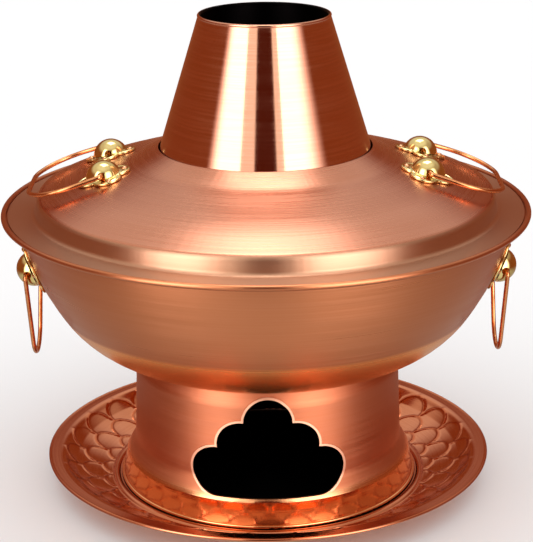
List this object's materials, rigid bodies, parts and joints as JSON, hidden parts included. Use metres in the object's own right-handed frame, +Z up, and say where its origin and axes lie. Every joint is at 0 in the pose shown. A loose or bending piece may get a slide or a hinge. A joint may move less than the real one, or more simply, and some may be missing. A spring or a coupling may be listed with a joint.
{
  "type": "chimney hot pot",
  "caption": "Copper chimney hot pot: ring-shaped soup bowl round a charcoal fire tube, lift-off lid and chimney cone, wire bails on brass knobs, cloud-shaped draught hole and water saucer.",
  "frame": {"origin": "centre of the saucer's underside, on the fire's axis, on the table", "axes": "+Z up along the fire's axis; -Y towards the cloud-shaped draught hole; the bails are on the +X and -X sides"},
  "size_m": [0.32, 0.32, 0.2914],
  "materials": {
    "lid_copper": "copper, satin brushed round the axis",
    "bowl_copper": "copper, satin brushed round the axis",
    "stand_copper": "copper, satin brushed, with a polished foot band",
    "cone_copper": "copper, brushed, darker than the lid",
    "saucer_copper": "copper, polished, with pressed scales",
    "tube_copper": "copper, dulled by the fire",
    "wire_copper": "copper wire, bright",
    "rivet_copper": "copper, bright",
    "knob_brass": "brass, mirror polished",
    "grate_iron": "cast iron, sooty"
  },
  "bodies": {
    "saucer": {"saucer": "saucer_copper"},
    "pot": {"stand": "stand_copper", "bowl": "bowl_copper", "fire_tube": "tube_copper", "grate_ring": "tube_copper", "bowl_plate_right_front": "knob_brass", "bowl_knob_right_front": "knob_brass", "bowl_plate_right_back": "knob_brass", "bowl_knob_right_back": "knob_brass", "bowl_plate_left_front": "knob_brass", "bowl_knob_left_front": "knob_brass", "bowl_plate_left_back": "knob_brass", "bowl_knob_left_back": "knob_brass", "bowl_rivets": "rivet_copper"},
    "grate": {"charcoal_grate": "grate_iron"},
    "chimney": {"chimney": "cone_copper", "chimney_spigot": "tube_copper"},
    "lid": {"lid": "lid_copper", "lid_skirt": "lid_copper", "lid_plate_right_front": "knob_brass", "lid_knob_right_front": "knob_brass", "lid_plate_right_back": "knob_brass", "lid_knob_right_back": "knob_brass", "lid_plate_left_front": "knob_brass", "lid_knob_left_front": "knob_brass", "lid_plate_left_back": "knob_brass", "lid_knob_left_back": "knob_brass", "lid_rivets": "rivet_copper"},
    "lid_bail_left": {"lid_bail_left": "wire_copper"},
    "lid_bail_right": {"lid_bail_right": "wire_copper"},
    "bowl_bail_left": {"bowl_bail_left": "wire_copper"},
    "bowl_bail_right": {"bowl_bail_right": "wire_copper"}
  },
  "joints": [
    {"name": "pot_lift", "type": "slide", "parent": "saucer", "child": "pot", "axis": [0, 0, 1], "range_m": [0, 0.05]},
    {"name": "grate_lift", "type": "slide", "parent": "pot", "child": "grate", "axis": [0, 0, 1], "range_m": [0, 0.09]},
    {"name": "chimney_lift", "type": "slide", "parent": "pot", "child": "chimney", "axis": [0, 0, 1], "range_m": [0, 0.04]},
    {"name": "lid_lift", "type": "slide", "parent": "pot", "child": "lid", "axis": [0, 0, 1], "range_m": [0, 0.13]},
    {"name": "lid_bail_left_swing", "type": "hinge", "parent": "lid", "child": "lid_bail_left", "pos_m": [-0.09652, 0, 0.20295], "axis": [0, 1, 0], "range_deg": [0, 138]},
    {"name": "lid_bail_right_swing", "type": "hinge", "parent": "lid", "child": "lid_bail_right", "pos_m": [0.09652, 0, 0.20295], "axis": [0, -1, 0], "range_deg": [0, 138]},
    {"name": "bowl_bail_left_swing", "type": "hinge", "parent": "pot", "child": "bowl_bail_left", "pos_m": [-0.14325, 0, 0.14151], "axis": [0, 1, 0], "range_deg": [-20, 140]},
    {"name": "bowl_bail_right_swing", "type": "hinge", "parent": "pot", "child": "bowl_bail_right", "pos_m": [0.14325, 0, 0.14151], "axis": [0, -1, 0], "range_deg": [-20, 140]}
  ]
}
